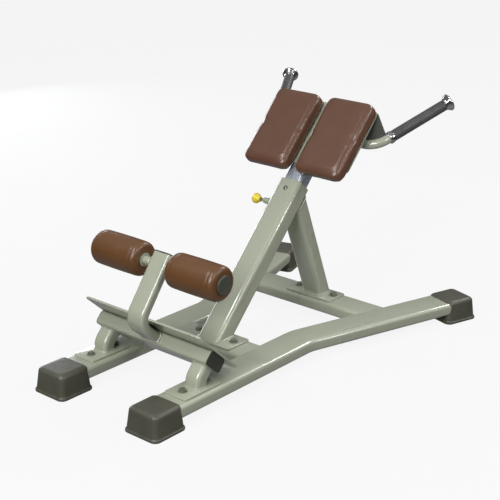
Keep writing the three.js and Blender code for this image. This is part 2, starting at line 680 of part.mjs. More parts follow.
function rollerPost() {
  const section = hollowSection(ROLLER_POST.depth, ROLLER_POST.width, ROLLER_POST.corner);
  const tube = bentTube(section, rollerPostCorners(), ROLLER_POST.bendRadius, 5);
  const axle = axleInFootFrame();
  const hole = drill(AXLE.radius + 0.8, 80, 16).rotateZ(Math.PI / 2).translate(axle.x, axle.y, axle.z);
  return cut(tube, hole);
}

function rollerPostCap() {
  const outline = roundedRectangle(ROLLER_POST.width, ROLLER_POST.depth, ROLLER_POST.corner);
  const rim = prism(outline, ROLLER_POST.cap);
  const width = ROLLER_POST.width - 2 * WALL - 2 * GAP;
  const depth = ROLLER_POST.depth - 2 * WALL - 2 * GAP;
  const spigot = prism(roundedRectangle(width, depth, ROLLER_POST.corner - WALL), 8).translate(0, 0, -7);
  return join(rim, spigot);
}

function rollerCushion() {
  const length = ROLLER.outer - ROLLER.inner;
  const bore = ROLLER.core + GAP;
  const edge = ROLLER.edge;
  const outline = [[bore, 0], [ROLLER.radius - edge, 0]];
  for (let i = 1; i <= 3; i += 1) {
    const turn = (i * Math.PI) / 6;
    const radius = ROLLER.radius - edge + edge * Math.sin(turn);
    outline.push([radius, edge * (1 - Math.cos(turn))]);
  }
  const mirror = outline.slice(1).reverse().map(([radius, height]) => [radius, length - height]);
  return turned([...outline, ...mirror, [bore, length], [bore, 0]], 24);
}

function addRollers() {
  add(footRest, 'roller_post', rollerPost(), framePaint);
  const [, turn, top] = rollerPostCorners();
  const up = top.clone().sub(turn).normalize();
  const cap = add(footRest, 'roller_post_cap', rollerPostCap(), darkPlastic);
  cap.position.copy(top).addScaledVector(up, GAP);
  cap.rotation.x = -Math.atan2(up.y, up.z);
  const axle = turned(ringProfile(AXLE.radius - WALL, AXLE.radius, 2 * AXLE.end), 16);
  const centre = [0, ROLLER_AXIS.y, ROLLER_AXIS.z];
  add(bench, 'roller_axle', axle, framePaint, [-AXLE.end, centre[1], centre[2]], [0, Math.PI / 2, 0]);
  SIDES.forEach(([word, side]) => {
    const outward = [0, (side * Math.PI) / 2, 0];
    const start = [side * ROLLER.inner, centre[1], centre[2]];
    const length = ROLLER.outer - ROLLER.inner;
    const core = turned(ringProfile(AXLE.radius + 0.5, ROLLER.core, length), 16);
    add(bench, `roller_core_${word}`, core, framePaint, start, outward);
    add(bench, `foot_roller_${word}`, rollerCushion(), rollerVinyl, start, outward);
    const spigotRadius = AXLE.radius - WALL - GAP;
    const disc = [
      [0, -ROLLER_CAP.spigot], [spigotRadius, -ROLLER_CAP.spigot], [spigotRadius, 0],
      [ROLLER_CAP.radius, 0], [ROLLER_CAP.radius, ROLLER_CAP.thickness - ROLLER_CAP.bevel],
      [ROLLER_CAP.radius - ROLLER_CAP.bevel, ROLLER_CAP.thickness],
      [0, ROLLER_CAP.thickness],
    ];
    const place = [side * (AXLE.end + GAP), centre[1], centre[2]];
    add(bench, `roller_end_cap_${word}`, turned(disc, 20), capPlastic, place, outward);
  });
}

addBase();
addUpright();
addCarriage();
addFootRest();
addRollers();

export default bench;
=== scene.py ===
import json
import math

import bmesh
import bpy
from mathutils import Matrix, Vector, noise


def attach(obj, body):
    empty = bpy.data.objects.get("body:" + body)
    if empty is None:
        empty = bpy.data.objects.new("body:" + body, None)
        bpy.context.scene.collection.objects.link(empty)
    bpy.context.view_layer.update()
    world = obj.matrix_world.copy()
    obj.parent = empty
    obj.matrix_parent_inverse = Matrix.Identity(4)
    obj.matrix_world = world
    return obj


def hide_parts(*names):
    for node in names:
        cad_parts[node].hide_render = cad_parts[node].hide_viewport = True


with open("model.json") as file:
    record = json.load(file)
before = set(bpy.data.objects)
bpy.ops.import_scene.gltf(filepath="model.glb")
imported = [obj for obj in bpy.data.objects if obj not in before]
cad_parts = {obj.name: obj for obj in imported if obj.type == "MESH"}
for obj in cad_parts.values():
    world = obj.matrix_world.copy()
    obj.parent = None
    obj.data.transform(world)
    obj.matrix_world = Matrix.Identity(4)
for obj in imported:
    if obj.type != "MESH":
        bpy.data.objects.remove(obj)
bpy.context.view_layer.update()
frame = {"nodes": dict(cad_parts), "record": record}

MM = 0.001
FLOOR_GLOW = 0.885
SIDES = (("right", 1), ("left", -1))
SHARP = 32  # a crease steeper than this many degrees keeps its edge

# ---- dimensions that the CAD part has too, in millimetres -----------------
MIDDLE = 632.86  # the bench's front edge is this far in front of Y = 0
RAIL = {"width": 100, "height": 38, "corner": 12, "x": 172, "bottom": 26, "bend_y": 655, "bend": 160}
RAIL_TOP = RAIL["bottom"] + RAIL["height"]
SPLAY = math.radians(17)
FOOT_FRONT_Y = 54.5
FOOT_REAR_REACH = 571
FOOT_PAST = 42
PLATE = 5
PLATE_TOP = RAIL_TOP + 0.3 + PLATE
PLATE_CORNER = 8
CROSS_MEMBERS = (("front", 478), ("rear", 945))
LEAN = math.radians(47)
WALL = 3
UPRIGHT = {"width": 78, "depth": 60, "corner": 14}
STRUT = {"width": 74, "depth": 52, "corner": 15, "y": 954, "lean": math.radians(22.4)}
POST = {"width": 66, "depth": 48, "corner": 11, "below": 330, "above": 212}
HOLES = {"count": 7, "pitch": 25, "radius": 5}
PIN_DOWN = 74  # the pin and the first hole are this far below the upright's mouth
KNOB_OUT = 102
SCREW_DOWN = 31
SLEEVE = {"width": 72, "depth": 54, "corner": 13, "start": 58, "end": 238}
CROSSBAR = {"length": 407, "width": 70, "depth": 40, "corner": 10}
TREAD = {"width": 424, "top": -114.5, "bottom": 93, "corner": 16, "thickness": 6}
NOTCH = {"width": 66, "bottom": -87.5, "corner": 4}
BRACKET = {"width": 50, "depth": 42, "corner": 13, "y": 207, "bend": 30}
ROLLER_POST = {"width": 60, "depth": 28, "corner": 9, "turn": -120.5, "bend": 38, "above": 30}
AXLE = {"y": 255, "z": 348, "radius": 12.5, "end": 223.4}
ROLLER = {"inner": 54, "length": 169, "radius": 49, "core": 19}
PAD = {"width": 170, "gap": 22, "start": 17.5, "end": 273, "thickness": 43.7, "corner": 24, "taper": 7}
BOARD = {"inset": 12, "thickness": 8, "corner": 14}
SIDE_GIVE = 0.03  # the board holds a cushion's sides in line, so they move this share of the way
SWELL_FRAMES = 20
SEAM = {"y": -8.5, "width": 1.7, "depth": 0.011}
BACK_PLATE = {"width": 352, "start": 55, "end": 269, "thickness": 3.5, "corner": 14, "back": 27.3}
HANDLE_ROOT = Vector((36.3, 14.1, 180.5))
HANDLE_CORNER = Vector((190, 14.1, 180.5))
HANDLE_WAY = Vector((0.4065, 0.3019, 0.8624)).normalized()
HANDLE_BEND = 61.5
HANDLE_RADIUS = 14
COLLAR_START = 8  # distances along the handle from the end of its bend
GRIP = {"start": 22.3, "length": 183, "radius": 16.5}
GRIP_END_START = 205.6
GUSSET = {"top": (174, 266), "foot": (135, 225.5), "tube": 150, "collar": 3}

WORLD = Matrix.Scale(MM, 4) @ Matrix.Translation((0, -MIDDLE, 0))
# Local Z runs up the upright and local Y out of its back.
LEANING = WORLD @ Matrix.Translation((0, 827.6, 443.8)) @ Matrix.Rotation(LEAN - math.pi / 2, 4, "X")
# Local Z is the footplate's normal and local Y runs down it.
FOOT_TILT = math.radians(42)
FOOTREST = WORLD @ Matrix.Translation((0, 246, 131.5)) @ Matrix.Rotation(-FOOT_TILT, 4, "X")
OUT_LEFT = Matrix.Rotation(-math.pi / 2, 4, "Y")
OUT_RIGHT = Matrix.Rotation(math.pi / 2, 4, "Y")
OUT_FRONT = Matrix.Rotation(math.pi / 2, 4, "X")


# ---- materials ------------------------------------------------------------
class Nodes:
    """A material's node tree, with short ways to add and join nodes."""

    def __init__(self, name):
        self.material = bpy.data.materials.new(name)
        self.material.use_nodes = True
        self.tree = self.material.node_tree
        self.shader = self.tree.nodes["Principled BSDF"]
        self.place = self.add("ShaderNodeTexCoord").outputs["Object"]

    def add(self, kind, **inputs):
        node = self.tree.nodes.new(kind)
        for key, value in inputs.items():
            node.inputs[key.replace("_", " ")].default_value = value
        return node

    def join(self, out, socket):
        self.tree.links.new(out, socket)

    def noise(self, scale, detail=4.0, roughness=0.55):
        node = self.add("ShaderNodeTexNoise", Scale=scale, Detail=detail, Roughness=roughness)
        self.join(self.place, node.inputs["Vector"])
        return node.outputs["Fac"]

    def cells(self, scale, feature="F1"):
        node = self.add("ShaderNodeTexVoronoi", Scale=scale)
        node.feature = feature
        self.join(self.place, node.inputs["Vector"])
        return node.outputs["Distance"]

    def ramp(self, value, stops):
        node = self.add("ShaderNodeValToRGB")
        self.join(value, node.inputs["Fac"])
        ramp = node.color_ramp
        while len(ramp.elements) < len(stops):
            ramp.elements.new(0.5)
        for element, (position, colour) in zip(ramp.elements, stops):
            element.position = position
            element.color = (*colour, 1)
        return node.outputs["Color"]

    def span(self, value, low, high, start=0.3, end=0.7):
        node = self.add("ShaderNodeMapRange")
        node.inputs["From Min"].default_value = start
        node.inputs["From Max"].default_value = end
        node.inputs["To Min"].default_value = low
        node.inputs["To Max"].default_value = high
        self.join(value, node.inputs["Value"])
        return node.outputs["Result"]

    def bump(self, height, strength, distance, below=None):
        node = self.add("ShaderNodeBump", Strength=strength, Distance=distance)
        self.join(height, node.inputs["Height"])
        if below is not None:
            self.join(below, node.inputs["Normal"])
        return node.outputs["Normal"]

    def finish(self, colour, roughness, normal=None, **constants):
        self.join(colour, self.shader.inputs["Base Color"])
        self.join(roughness, self.shader.inputs["Roughness"])
        if normal is not None:
            self.join(normal, self.shader.inputs["Normal"])
        for key, value in constants.items():
            self.shader.inputs[key.replace("_", " ")].default_value = value
        return self.material


def paint(name, dark, light, coat):
    n = Nodes(name)
    tone = n.ramp(n.noise(5, 2), [(0.0, dark), (1.0, light)])
    rough = n.span(n.noise(11, 1), 0.24, 0.34, 0, 1)
    return n.finish(tone, rough, None, Coat_Weight=coat, Coat_Roughness=0.08)


def rubber():
    n = Nodes("foot_rubber")
    tone = n.ramp(n.noise(14, 4), [(0.3, (0.060, 0.059, 0.043)), (0.7, (0.078, 0.077, 0.058))])
    rough = n.span(n.noise(60, 5), 0.36, 0.52)
    grain = n.bump(n.noise(900, 3), 0.12, 0.0003)
    return n.finish(tone, rough, grain)


def chrome(name, low, high, dark, light, metallic=1.0):
    n = Nodes(name)
    tone = n.ramp(n.noise(18, 3), [(0.3, dark), (0.7, light)])
    rough = n.span(n.noise(90, 6), low, high)
    return n.finish(tone, rough, None, Metallic=metallic)


def vinyl(name, dark, light, rough_low, rough_high, coat):
    grain_scale = 620
    n = Nodes(name)
    tone = n.ramp(n.noise(22, 5), [(0.28, dark), (0.72, light)])
    rough = n.span(n.noise(70, 5), rough_low, rough_high)
    pores = n.bump(n.cells(grain_scale), 0.22, 0.00035)
    grain = n.bump(n.noise(grain_scale * 0.5, 6), 0.16, 0.0004, pores)
    return n.finish(tone, rough, grain, Coat_Weight=coat, Coat_Roughness=0.25)


def plastic(name, dark, light, rough_low, rough_high, grain=0.1):
    n = Nodes(name)
    tone = n.ramp(n.noise(30, 4), [(0.3, dark), (0.7, light)])
    rough = n.span(n.noise(80, 5), rough_low, rough_high)
    skin = n.bump(n.noise(1100, 3), grain, 0.0002)
    return n.finish(tone, rough, skin)


def steel():
    n = Nodes("bolt_steel")
    tone = n.ramp(n.noise(60, 5), [(0.3, (0.17, 0.18, 0.14)), (0.7, (0.23, 0.24, 0.19))])
    rough = n.span(n.noise(200, 5), 0.28, 0.45)
    wear = n.bump(n.noise(700, 4), 0.1, 0.0002)
    return n.finish(tone, rough, wear, Metallic=0.5)


def plywood():
    n = Nodes("backing_board")
    layers = n.add("ShaderNodeTexWave", Scale=260.0, Distortion=1.2, Detail=2.0)
    layers.bands_direction = "Y"
    n.join(n.place, layers.inputs["Vector"])
    tone = n.ramp(layers.outputs["Fac"], [(0.2, (0.020, 0.017, 0.013)), (0.8, (0.034, 0.028, 0.021))])
    rough = n.span(n.noise(120, 5), 0.6, 0.8)
    return n.finish(tone, rough, n.bump(n.noise(300, 5), 0.2, 0.0004))


MATERIALS = {
    "frame_paint": paint("frame_paint", (0.322, 0.344, 0.262), (0.360, 0.380, 0.294), 1.0),
    # web_paint is painted shade: the webs' near-black olive stands in for the shade on a web that faces down
    # and away from the lamps
    "web_paint": plastic("web_paint", (0.030, 0.030, 0.022), (0.038, 0.038, 0.028), 0.5, 0.6),
    "foot_rubber": rubber(),
    "post_chrome": chrome("post_chrome", 0.24, 0.30, (0.44, 0.48, 0.54), (0.50, 0.54, 0.60), 0.6),
    "collar_chrome": chrome("collar_chrome", 0.12, 0.18, (0.50, 0.50, 0.51), (0.56, 0.56, 0.57)),
    "pad_vinyl": vinyl("pad_vinyl", (0.104, 0.046, 0.026), (0.120, 0.054, 0.031), 0.28, 0.36, 0.25),
    "roller_vinyl": vinyl("roller_vinyl", (0.104, 0.044, 0.014), (0.124, 0.054, 0.018), 0.34, 0.44, 0.15),
    "grip_rubber": plastic("grip_rubber", (0.050, 0.050, 0.051), (0.072, 0.072, 0.073), 0.42, 0.56, 0.2),
    "backing_board": plywood(),
    "dark_plastic": plastic("dark_plastic", (0.030, 0.033, 0.024), (0.045, 0.048, 0.036), 0.35, 0.5),
    "cap_plastic": plastic("cap_plastic", (0.050, 0.056, 0.040), (0.062, 0.068, 0.050), 0.3, 0.4),
    "liner_plastic": plastic("liner_plastic", (0.016, 0.016, 0.013), (0.026, 0.026, 0.021), 0.4, 0.55),
    "bolt_steel": steel(),
    "knob_plastic": plastic("knob_plastic", (0.70, 0.55, 0.035), (0.80, 0.64, 0.05), 0.2, 0.3, 0.04),
}


# ---- mesh helpers ---------------------------------------------------------
def rounded_rectangle(width, height, corner, steps=8):
    """Points round a rounded rectangle, anticlockwise."""
    points = []
    for turn, (sx, sy) in enumerate(((1, -1), (1, 1), (-1, 1), (-1, -1))):
        cx = sx * (width / 2 - corner)
        cy = sy * (height / 2 - corner)
        for i in range(steps + 1):
            angle = math.radians(-90 + 90 * turn + 90 * i / steps)
            points.append((cx + corner * math.cos(angle), cy + corner * math.sin(angle)))
    return points


def ring(radius, steps=40):
    return [(radius * math.cos(2 * math.pi * i / steps), radius * math.sin(2 * math.pi * i / steps))
            for i in range(steps)]


def box_section(width, height, corner):
    """A function that gives the outline of a tube's section, shrunk by an inset."""
    return lambda inset=0: rounded_rectangle(
        width - 2 * inset, height - 2 * inset, max(corner - inset, 0.4))


def loft(rings, closed=False):
    """Vertices and faces of a skin through rings of equal length, capped at both ends or joined in a loop."""
    count = len(rings[0])
    verts = [point for one in rings for point in one]
    faces = []
    spans = len(rings) if closed else len(rings) - 1
    for i in range(spans):
        a = i * count
        b = (i + 1) % len(rings) * count
        for j in range(count):
            k = (j + 1) % count
            faces.append((a + j, a + k, b + k, b + j))
    if not closed:
        faces.append(tuple(reversed(range(count))))
        faces.append(tuple(range(len(verts) - count, len(verts))))
    return verts, faces


def arc_path(corners, radius, steps=14):
    """(point, direction) stations along straight runs joined by round bends."""
    stations = [(corners[0], (corners[1] - corners[0]).normalized())]
    for before, corner, after in zip(corners, corners[1:], corners[2:]):
        a = (corner - before).normalized()
        b = (after - corner).normalized()
        angle = a.angle(b)
        start = corner - a * radius * math.tan(angle / 2)
        inward = (b - a * a.dot(b)).normalized()
        for i in range(steps + 1):
            turn = angle * i / steps
            point = start + a * radius * math.sin(turn) + inward * radius * (1 - math.cos(turn))
            stations.append((point, a * math.cos(turn) + inward * math.sin(turn)))
    stations.append((corners[-1], (corners[-1] - corners[-2]).normalized()))
    return stations


def place_ring(outline, point, way, side):
    """An outline's first coordinate goes along side and its second along way x side."""
    up = way.cross(side).normalized()
    return [point + side * a + up * b for a, b in outline]


def sweep(section, stations, side, edge=1.2):
    """A closed tube along the stations, with both ends rounded over by edge."""
    rings = []
    first, way = stations[0]
    last, end_way = stations[-1]
    for i in range(4):
        turn = math.radians(90 * i / 4)
        inset = edge * (1 - math.sin(turn))
        rings.append(place_ring(section(inset), first + way * edge * (1 - math.cos(turn)), way, side))
    for point, direction in stations[1:-1]:
        rings.append(place_ring(section(), point, direction, side))
    if len(stations) == 2:
        rings.append(place_ring(section(), first + way * edge, way, side))
        rings.append(place_ring(section(), last - end_way * edge, end_way, side))
    for i in reversed(range(4)):
        turn = math.radians(90 * i / 4)
        inset = edge * (1 - math.sin(turn))
        point = last - end_way * edge * (1 - math.cos(turn))
        rings.append(place_ring(section(inset), point, end_way, side))
    return loft(rings)


def lathe(profile, segments=48):
    """A piece turned about local Z from (radius, height) pairs that start and end on the axis or meet."""
    rings = []
    for radius, height in profile:
        r = max(radius, 0.02)
        rings.append([Vector((x, y, height)) for x, y in ring(r, segments)])
    closed = profile[0] == profile[-1]
    return loft(rings[:-1] if closed else rings, closed)


def rounded_profile(points, radius, steps=5):
    """A profile's corners rounded over: each point may carry its own radius as a third value."""
    out = [points[0][:2]]
    for i in range(1, len(points) - 1):
        r = points[i][2] if len(points[i]) > 2 else radius
        corner = Vector(points[i][:2])
        a = Vector(points[i - 1][:2]) - corner
        b = Vector(points[i + 1][:2]) - corner
        r = min(r, a.length * 0.45, b.length * 0.45)
        p = corner + a.normalized() * r
        q = corner + b.normalized() * r
        for j in range(steps + 1):
            t = j / steps
            out.append(tuple(p * (1 - t) ** 2 + corner * 2 * t * (1 - t) + q * t ** 2))
    out.append(points[-1][:2])
    return out


def slab(width, length, corner, thickness, edge=0.8):
    """A plate in the local XY plane with its underside at Z = 0 and its edges rounded over."""
    section = box_section(width, length, corner)
    levels = [(edge, 0), (edge * 0.3, edge * 0.3), (0, edge), (0, thickness - edge),
              (edge * 0.3, thickness - edge * 0.3), (edge, thickness)]
    return loft([[Vector((x, y, z)) for x, y in section(inset)] for inset, z in levels])


def on_plane(points, way, plane_point, normal):
    """Where lines through the points along way meet a plane."""
    reach = way.dot(normal)
    return [p + way * ((plane_point - p).dot(normal) / reach) for p in points]


def bead(loop, radius=2.4, spacing=2.6):
    """A weld seam: a rippled cord round a closed loop of points."""
    lengths = [(loop[(i + 1) % len(loop)] - loop[i]).length for i in range(len(loop))]
    total = sum(lengths)
    count = max(24, int(total / spacing))
    centres = []
    i, walked = 0, 0.0
    for step in range(count):
        target = total * step / count
        while walked + lengths[i] < target:
            walked += lengths[i]
            i += 1
        t = (target - walked) / max(lengths[i], 1e-9)
        centres.append(loop[i].lerp(loop[(i + 1) % len(loop)], t))
    middle = sum(centres, Vector()) / count
    rings = []
    for step, centre in enumerate(centres):
        way = (centres[(step + 1) % count] - centres[step - 1]).normalized()
        out = (centre - middle)
        out = (out - way * out.dot(way)).normalized()
        up = way.cross(out)
        r = radius * (1 + 0.16 * math.sin(step * 2 * math.pi / 3))
        rings.append([centre + out * r * math.cos(a) + up * r * math.sin(a)
                      for a in (2 * math.pi * k / 8 for k in range(8))])
    return loft(rings, closed=True)


def make(name, shape, slot, body, matrix=WORLD, replaces=(), sharp=SHARP):
    """Turns vertices and faces into a piece that rides on a body and takes a slot's finish."""
    verts, faces = shape
    mesh = bpy.data.meshes.new(name)
    mesh.from_pydata([matrix @ Vector(v) for v in verts], [], faces)
    tidy = bmesh.new()
    tidy.from_mesh(mesh)
    bmesh.ops.recalc_face_normals(tidy, faces=tidy.faces)
    tidy.to_mesh(mesh)
    tidy.free()
    piece = bpy.data.objects.new(name, mesh)
    bpy.context.scene.collection.objects.link(piece)
    return settle(piece, slot, body, replaces, sharp)


def settle(piece, slot, body, replaces=(), sharp=SHARP):
    mesh = piece.data
    mesh.materials.clear()
    mesh.materials.append(MATERIALS[slot])
    mesh.shade_smooth()
    mesh.set_sharp_from_angle(angle=math.radians(sharp))
    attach(piece, body)
    if replaces:
        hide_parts(*replaces)
    return piece


def weld(name, loop, body, matrix=WORLD, radius=2.4):
    return make(name, bead(loop, radius), "frame_paint", body, matrix)


X = Vector((1, 0, 0))
Y = Vector((0, 1, 0))
Z = Vector((0, 0, 1))


# ---- base -----------------------------------------------------------------
def rail_point(side, along):
    """A point on a rail's middle line, along the splayed run from the bend."""
    middle = RAIL["bottom"] + RAIL["height"] / 2
    x, y = RAIL["x"] + along * math.sin(SPLAY), RAIL["bend_y"] + along * math.cos(SPLAY)
    return Vector((side * x, y, middle))


def foot_cap():
    """A moulded block that tapers upwards, with rounded top edges and a lip at the floor."""
    levels = [  # size, corner radius, height
        (114.5, 16, 0), (117, 17.5, 0.6), (118, 18, 1.8), (118, 18, 5.4), (117.2, 17.6, 6.8),
        (115.4, 16.7, 7.7), (113, 15.5, 8.1), (111.6, 15.5, 9.2), (110.8, 16, 12), (102.2, 15, 54),
    ]
    top, round_over = 101.7, 13
    for i in range(1, 8):
        turn = math.radians(90 * i / 7)
        inset = round_over * (1 - math.cos(turn))
        size = top - 2 * inset
        levels.append((size, max(15 - inset * 0.55, 6), 57 + round_over * math.sin(turn)))
    levels.append((60, 6, 70.0))
    rings = []
    for size, corner, height in levels:
        rings.append([Vector((x, y, height)) for x, y in rounded_rectangle(size, size, corner)])
    return loft(rings)


def build_base():
    for word, side in SIDES:
        corners = [Vector((side * RAIL["x"], FOOT_FRONT_Y - FOOT_PAST, rail_point(side, 0).z)),
                   rail_point(side, 0), rail_point(side, FOOT_REAR_REACH + FOOT_PAST)]
        section = box_section(RAIL["height"], RAIL["width"], RAIL["corner"])
        make(f"rail_tube_{word}", sweep(section, arc_path(corners, RAIL["bend"]), Z), "frame_paint", "frame",
             replaces=[f"rail_{word}"])
        front = WORLD @ Matrix.Translation((side * RAIL["x"], FOOT_FRONT_Y, 0))
        make(f"foot_cap_front_{word}", foot_cap(), "foot_rubber", "frame", front,
             replaces=[f"foot_front_{word}"])
        rear = rail_point(side, FOOT_REAR_REACH)
        turned = Matrix.Translation((rear.x, rear.y, 0)) @ Matrix.Rotation(side * (math.pi - SPLAY), 4, "Z")
        make(f"foot_cap_rear_{word}", foot_cap(), "foot_rubber", "frame", WORLD @ turned,
             replaces=[f"foot_rear_{word}"])
    for name, y in CROSS_MEMBERS:
        reach = RAIL["x"] + max(0, y - RAIL["bend_y"]) * math.tan(SPLAY) - 30
        section = box_section(RAIL["height"] - 0.6, RAIL["width"], RAIL["corner"])
        middle = RAIL["bottom"] + RAIL["height"] / 2
        ends = [(Vector((-reach, y, middle)), X), (Vector((reach, y, middle)), X)]
        make(f"crossmember_tube_{name}", sweep(section, ends, Z), "frame_paint", "frame",
             replaces=[f"crossmember_{name}"])


# ---- plates and bolts -----------------------------------------------------
def hex_bolt():
    """A hexagon head with a chamfered crown on a round washer, standing on Z = 0."""
    washer = lathe(rounded_profile([(0, 0), (12, 0), (12, 2.1), (0, 2.1)], 0.5), 40)
    steps = 6
    head = []
    reach = 9.6
    corners = [Vector((x, y, 0)) for x, y in ring(reach, 6)]
    for scale, height in ((0.99, 2.0), (1.0, 2.4), (1.0, 7.6), (0.93, 8.5), (0.80, 8.9), (0.3, 9.0)):
        outline = []
        for i, a in enumerate(corners):
            b = corners[(i + 1) % 6]
            for step in range(steps):
                point = a.lerp(b, step / steps)
                if scale < 0.95:
                    point = point.normalized() * min(point.length, reach * scale)
                outline.append(Vector((point.x, point.y, height)))
        head.append(outline)
    return together(washer, loft(head))


def together(*shapes):
    verts, faces = [], []
    for some_verts, some_faces in shapes:
        start = len(verts)
        verts.extend(some_verts)
        faces.extend(tuple(start + i for i in face) for face in some_faces)
    return verts, faces


def build_plates():
    bolt_x = 66
    for name, width, depth, y, bolt_y in (("upright", 178, 92, 477, 480), ("strut", 172, 82, 947, 953)):
        at = WORLD @ Matrix.Translation((0, y, RAIL_TOP + 0.1))
        plate = slab(width, depth, PLATE_CORNER, PLATE + 0.2, 1.0)
        make(f"{name}_foot_plate", plate, "frame_paint", "frame", at, replaces=[f"{name}_base_plate"])
        for word, side in SIDES:
            turn = Matrix.Rotation(math.radians(17 if word == "left" else 43), 4, "Z")
            at_bolt = WORLD @ Matrix.Translation((side * bolt_x, bolt_y, PLATE_TOP)) @ turn
            make(f"{name}_hex_bolt_{word}", hex_bolt(), "bolt_steel", "frame", at_bolt,
                 replaces=[f"{name}_bolt_{word}"])
    for word, side in SIDES:
        at = WORLD @ Matrix.Translation((side * RAIL["x"], 197.5, RAIL_TOP + 0.1))
        plate = slab(78, 142, PLATE_CORNER, PLATE + 0.2, 1.0)
        make(f"bracket_foot_plate_{word}", plate, "frame_paint", "frame", at,
             replaces=[f"foot_bracket_plate_{word}"])
        for end, y in (("front", 156), ("rear", 247)):
            turn = Matrix.Rotation(math.radians(11 if end == "front" else 37), 4, "Z")
            at_bolt = WORLD @ Matrix.Translation((side * RAIL["x"], y, PLATE_TOP)) @ turn
            make(f"bracket_hex_bolt_{end}_{word}", hex_bolt(), "bolt_steel", "frame", at_bolt,
                 replaces=[f"foot_bracket_bolt_{end}_{word}"])


# ---- upright and strut ----------------------------------------------------
def build_upright():
    to_world = WORLD.inverted() @ LEANING  # leaning frame to millimetres in the bench's own frame
    way = (to_world.to_3x3() @ Z).normalized()
    section = box_section(UPRIGHT["width"], UPRIGHT["depth"], UPRIGHT["corner"])
    hollow = box_section(UPRIGHT["width"] - 2 * WALL, UPRIGHT["depth"] - 2 * WALL, UPRIGHT["corner"] - WALL)

    def at(outline, height):
        return [to_world @ Vector((x, y, height)) for x, y in outline]

    floor_point = Vector((0, 0, PLATE_TOP - 0.6))
    rings = [on_plane(at(section(), 0), way, floor_point, Z)]
    for inset, height in ((0, -1.0), (0.3, -0.3), (1.0, 0)):
        rings.append(at(section(inset), height))
    for inset, height in ((-0.8, 0), (-0.2, -0.3), (0, -1.0), (0, -150)):
        rings.append(at(hollow(inset), height))
    make("upright_box_tube", loft(rings), "frame_paint", "frame", replaces=["upright_tube"])
    weld("upright_weld", on_plane(at(section(-0.8), 0), way, Vector((0, 0, PLATE_TOP + 0.6)), Z), "frame",
         radius=2.6)

    lean = Matrix.Translation((0, STRUT["y"], PLATE_TOP)) @ Matrix.Rotation(STRUT["lean"], 4, "X")
    strut_way = (lean.to_3x3() @ Z).normalized()
    back_normal = (to_world.to_3x3() @ Y).normalized()
    back_point = to_world @ Vector((0, UPRIGHT["depth"] / 2 - 1, 0))
    strut = box_section(STRUT["width"], STRUT["depth"], STRUT["corner"])

    def strut_at(outline):
        return [lean @ Vector((x, y, 0)) for x, y in outline]

    rings = [on_plane(strut_at(strut()), strut_way, floor_point, Z),
             on_plane(strut_at(strut()), strut_way, back_point, back_normal)]
    make("strut_box_tube", loft(rings), "frame_paint", "frame", replaces=["rear_strut"])
    weld("strut_weld_foot", on_plane(strut_at(strut(-0.8)), strut_way, Vector((0, 0, PLATE_TOP + 0.6)), Z),
         "frame", radius=2.6)
    weld("strut_weld_head", on_plane(strut_at(strut(-0.6)), strut_way, back_point + back_normal * 1.4,
                                     back_normal), "frame", radius=2.2)


def build_pin():
    side_face = LEANING @ Matrix.Translation((-UPRIGHT["width"] / 2, 0, -PIN_DOWN)) @ OUT_LEFT
    housing = rounded_profile([(4.6, -3), (7.4, -3), (7.4, 0), (11, 0), (11, 8, 1.5), (8, 36, 1.2), (4.6, 36),
                               (4.6, -3)], 0.5)
    make("pin_bushing", lathe(housing), "frame_paint", "frame", side_face, replaces=["pin_housing"])
    rod = rounded_profile([(0, -4.9), (4, -4.9, 0.8), (4, 62.5, 0.8), (0, 62.5)], 0.5)
    make("pin_rod", lathe(rod, 32), "bolt_steel", "pin", side_face, replaces=["pull_pin"])
    knob = rounded_profile([(4.3, -14), (8.6, -14, 1.2), (9.4, -8, 3), (16, -1.5, 3.5), (15.6, 6.5, 4),
                            (10.5, 12, 4), (0, 13.6)], 1)
    knob = [(0, -13.4)] + knob
    at = LEANING @ Matrix.Translation((-KNOB_OUT, 0, -PIN_DOWN)) @ OUT_LEFT
    make("pin_knob", lathe(knob), "knob_plastic", "pin", at, replaces=["pull_knob"])
    front = LEANING @ Matrix.Translation((0, -UPRIGHT["depth"] / 2, -SCREW_DOWN)) @ OUT_FRONT
    screw = rounded_profile([(0, 0.1), (7, 0.1, 0.2), (7, 2.4, 1.2), (4.6, 4.5, 1.0), (3.1, 4.5, 0.2),
                             (2.9, 1.4, 0.1), (0, 1.4)], 0.4)
    make("liner_button_screw", lathe(screw, 36), "bolt_steel", "frame", front, replaces=["liner_screw"])


# ---- pad carriage ---------------------------------------------------------
def handle_point(distance, side=1):
    angle = math.acos(HANDLE_WAY.x)
    point = HANDLE_CORNER + HANDLE_WAY * (HANDLE_BEND * math.tan(angle / 2) + distance)
    return Vector((side * point.x, point.y, point.z))


def build_post():
    inner = box_section(POST["width"] - 2 * WALL, POST["depth"] - 2 * WALL, POST["corner"] - WALL)
    outer = box_section(POST["width"], POST["depth"], POST["corner"])
    low, high = -POST["below"], POST["above"]
    rings = []
    for section, levels in ((outer, ((0.8, low), (0, low + 0.8), (0, high - 0.8), (0.8, high))),
                            (inner, ((0, high), (0, low)))):
        rings.extend([Vector((x, y, z)) for x, y in section(inset)] for inset, z in levels)
    post = make("chrome_post", loft(rings, closed=True), "post_chrome", "carriage", LEANING,
                replaces=["sliding_post"])
    for i in range(HOLES["count"]):
        verts, faces = lathe([(0, -8), (HOLES["radius"], -8), (HOLES["radius"], 8), (0, 8)], 28)
        drill = bpy.data.meshes.new("drill")
        down = PIN_DOWN + HOLES["pitch"] * i
        at = LEANING @ Matrix.Translation((-POST["width"] / 2, 0, -down)) @ OUT_LEFT
        drill.from_pydata([at @ Vector(v) for v in verts], [], faces)
        tool = bpy.data.objects.new("drill", drill)
        bpy.context.scene.collection.objects.link(tool)
        cut = post.modifiers.new("hole", "BOOLEAN")
        cut.object = tool
        cut.solver = "EXACT"
        with bpy.context.temp_override(object=post, active_object=post, selected_objects=[post]):
            bpy.ops.object.modifier_apply(modifier=cut.name)
        bpy.data.objects.remove(tool)
    post.data.set_sharp_from_angle(angle=math.radians(SHARP))


